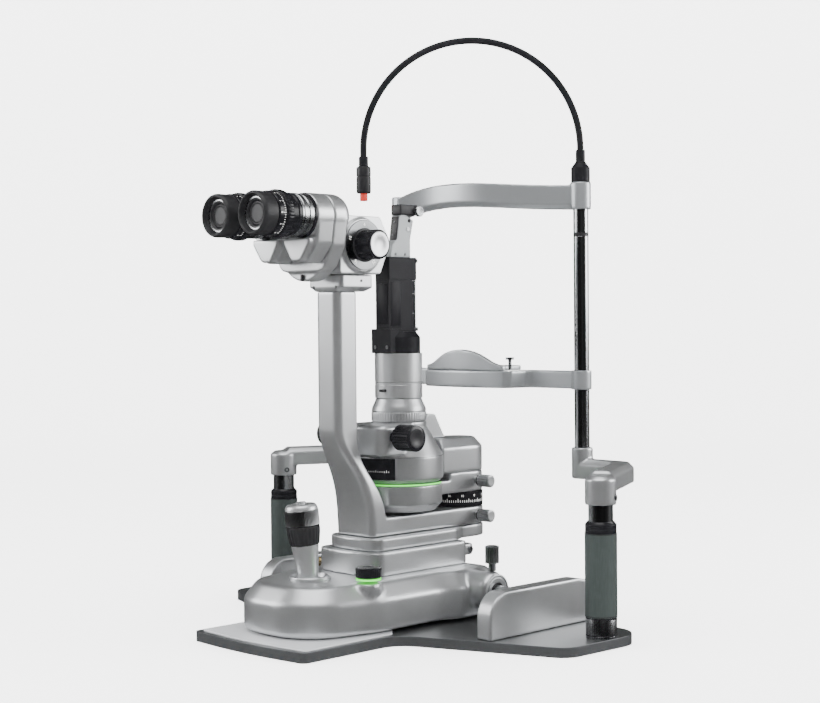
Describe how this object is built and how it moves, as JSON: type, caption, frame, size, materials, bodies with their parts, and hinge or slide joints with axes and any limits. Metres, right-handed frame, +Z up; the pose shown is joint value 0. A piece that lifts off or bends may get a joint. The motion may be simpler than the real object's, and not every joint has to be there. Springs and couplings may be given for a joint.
{
  "type": "slit lamp",
  "caption": "Table-top slit lamp: base plate with cross-slide carriage and joystick, stereo microscope, illumination tower, and a head rest with chin rest and fixation light.",
  "frame": {"origin": "on the table under the plate, midway between the two pillars of the head rest", "axes": "+Z up, +Y towards the patient, +X to the operator's right"},
  "size_m": [0.512, 0.3774, 0.6255],
  "materials": {
    "base_paint": "satin",
    "pad_plastic": "matte",
    "silver_paint": "satin",
    "cool_grey": "satin",
    "grip_anodised": "matte",
    "dark_plastic": "satin",
    "chrome_rod": "polished",
    "bare_steel": "brushed",
    "black_knob": "gloss",
    "soft_rubber": "matte",
    "white_plastic": "satin",
    "green_light": "luminous",
    "optical_glass": "clear",
    "brass_part": "machined",
    "bright_aluminium": "turned"
  },
  "bodies": {
    "stand": {"base_plate": "base_paint", "glide_pad": "pad_plastic", "rail_covers": "silver_paint", "gear_racks": "bare_steel", "pillars": "chrome_rod", "grips": "grip_anodised", "grip_rings": "dark_plastic", "brackets": "silver_paint", "rods": "chrome_rod", "forehead_band": "cool_grey", "fixation_socket": "dark_plastic"},
    "chin_rest": {"chin_rest_bar": "cool_grey", "chin_cup": "cool_grey", "paper_pin": "bare_steel"},
    "fixation_light": {"fixation_arm": "dark_plastic", "fixation_lamp": "dark_plastic"},
    "axle_carrier": {"guide_shoes": "brass_part"},
    "axle_shaft": {"axle": "bare_steel", "gear_wheels": "brass_part"},
    "carriage": {"carriage_body": "silver_paint", "carriage_floor": "pad_plastic", "elevation_housing": "silver_paint", "joystick_collar": "bright_aluminium"},
    "dimmer": {"dimmer_knob": "black_knob"},
    "base_lock": {"base_lock_knob": "black_knob"},
    "joystick_gimbal": {"joystick_ball": "bare_steel"},
    "joystick": {"joystick_stem": "bright_aluminium", "joystick_grip": "soft_rubber"},
    "height_wheel": {"height_ring": "grip_anodised"},
    "release_button": {"joystick_button": "bright_aluminium"},
    "lift": {"platform": "silver_paint", "lift_column": "bare_steel", "pivot_post": "dark_plastic"},
    "microscope": {"microscope_arm": "silver_paint", "head_mount": "silver_paint", "changer_housing": "silver_paint", "head_housing": "silver_paint", "objective": "dark_plastic"},
    "scope_lock": {"scope_lock_knob": "black_knob"},
    "magnification": {"magnification_drum": "dark_plastic", "magnification_knobs": "black_knob"},
    "binocular_right": {"prism_housing_right": "silver_paint", "ocular_right": "dark_plastic"},
    "binocular_left": {"prism_housing_left": "silver_paint", "ocular_left": "dark_plastic"},
    "diopter_right": {"diopter_ring_right": "soft_rubber"},
    "diopter_left": {"diopter_ring_left": "soft_rubber"},
    "illumination": {"illumination_arm": "silver_paint", "lamp_housing": "silver_paint", "light_ring": "green_light", "slit_housing": "silver_paint", "tower_column": "bright_aluminium", "tower_tube": "dark_plastic", "prism_head": "silver_paint", "tower_optics": "optical_glass", "lamp_module": "bright_aluminium"},
    "lamp_lock": {"lamp_lock_knob": "black_knob"},
    "slit_width": {"slit_knobs": "black_knob"},
    "aperture": {"aperture_dial": "silver_paint"},
    "filter": {"filter_ring": "bright_aluminium"}
  },
  "joints": [
    {"name": "chin_rest_height", "type": "slide", "parent": "stand", "child": "chin_rest", "axis": [0, 0, 1], "range_m": [-0.03, 0.03]},
    {"name": "fixation_swing", "type": "hinge", "parent": "stand", "child": "fixation_light", "pos_m": [0.1365, 0.0993, 0.492], "axis": [0, 0, 1], "range_deg": [-20, 45]},
    {"name": "forward_travel", "type": "slide", "parent": "stand", "child": "axle_carrier", "axis": [0, 1, 0], "range_m": [-0.055, 0.025]},
    {"name": "axle_turn", "type": "hinge", "parent": "axle_carrier", "child": "axle_shaft", "pos_m": [0, -0.009, 0.042], "axis": [1, 0, 0], "range_deg": [-170, 360]},
    {"name": "side_travel", "type": "slide", "parent": "axle_carrier", "child": "carriage", "axis": [1, 0, 0], "range_m": [-0.045, 0.045]},
    {"name": "dimmer_turn", "type": "hinge", "parent": "carriage", "child": "dimmer", "pos_m": [0.062, -0.1476, 0.065], "axis": [0, 0, 1], "range_deg": [0, 270]},
    {"name": "base_lock_turn", "type": "hinge", "parent": "carriage", "child": "base_lock", "pos_m": [0.103, -0.009, 0.07], "axis": [0, 0, 1], "range_deg": [0, 120]},
    {"name": "joystick_pitch", "type": "hinge", "parent": "carriage", "child": "joystick_gimbal", "pos_m": [0, -0.171, 0.046], "axis": [1, 0, 0], "range_deg": [-13.75, 6.25]},
    {"name": "joystick_roll", "type": "hinge", "parent": "joystick_gimbal", "child": "joystick", "pos_m": [0, -0.171, 0.046], "axis": [0, 1, 0], "range_deg": [-6.25, 13.75]},
    {"name": "height_wheel_turn", "type": "hinge", "parent": "joystick", "child": "height_wheel", "pos_m": [0, -0.171, 0.046], "axis": [-0.0653, -0.0653, 0.9957], "range_deg": [0, 900]},
    {"name": "release_press", "type": "slide", "parent": "joystick", "child": "release_button", "axis": [0.0653, 0.0653, -0.9957], "range_m": [0, 0.0015], "stiffness_N_per_m": 300, "springref_m": -0.0005},
    {"name": "lift_height", "type": "slide", "parent": "carriage", "child": "lift", "axis": [0, 0, 1], "range_m": [0, 0.03]},
    {"name": "microscope_swing", "type": "hinge", "parent": "lift", "child": "microscope", "pos_m": [0, 0.048, 0.1], "axis": [0, 0, -1], "range_deg": [-45, 45]},
    {"name": "scope_lock_turn", "type": "hinge", "parent": "microscope", "child": "scope_lock", "pos_m": [0.029, 0.048, 0.11], "axis": [1, 0, 0], "range_deg": [0, 180]},
    {"name": "magnification_turn", "type": "hinge", "parent": "microscope", "child": "magnification", "pos_m": [0, -0.128, 0.4006], "axis": [1, 0, 0], "continuous": true},
    {"name": "eye_distance_right", "type": "hinge", "parent": "microscope", "child": "binocular_right", "pos_m": [0.012, -0.178, 0.4], "axis": [0, 1, 0], "range_deg": [-1.8, 25]},
    {"name": "eye_distance_left", "type": "hinge", "parent": "microscope", "child": "binocular_left", "pos_m": [-0.012, -0.178, 0.4], "axis": [0, -1, 0], "range_deg": [-1.8, 25]},
    {"name": "diopter_right_turn", "type": "hinge", "parent": "binocular_right", "child": "diopter_right", "pos_m": [0.0284, -0.225, 0.4285], "axis": [0, 1, 0], "range_deg": [-90, 90]},
    {"name": "diopter_left_turn", "type": "hinge", "parent": "binocular_left", "child": "diopter_left", "pos_m": [-0.0284, -0.225, 0.4285], "axis": [0, 1, 0], "range_deg": [-90, 90]},
    {"name": "illumination_swing", "type": "hinge", "parent": "lift", "child": "illumination", "pos_m": [0, 0.048, 0.136], "axis": [0, 0, -1], "range_deg": [-45, 45]},
    {"name": "lamp_lock_turn", "type": "hinge", "parent": "illumination", "child": "lamp_lock", "pos_m": [0.029, 0.048, 0.148], "axis": [1, 0, 0], "range_deg": [0, 180]},
    {"name": "slit_width_turn", "type": "hinge", "parent": "illumination", "child": "slit_width", "pos_m": [0, -0.085, 0.203], "axis": [1, 0, 0], "range_deg": [0, 180]},
    {"name": "aperture_turn", "type": "hinge", "parent": "illumination", "child": "aperture", "pos_m": [0, -0.042, 0.217], "axis": [0, 0, 1], "range_deg": [0, 300]},
    {"name": "filter_turn", "type": "hinge", "parent": "illumination", "child": "filter", "pos_m": [0, -0.042, 0.241], "axis": [0, 0, 1], "range_deg": [0, 180]}
  ],
  "couplings": [
    {"joint": "axle_turn", "follows": "forward_travel", "rad_per_m": -111.11},
    {"joint": "height_wheel_turn", "follows": "lift_height", "rad_per_m": 523.59},
    {"joint": "eye_distance_left", "follows": "eye_distance_right", "ratio": 1}
  ]
}
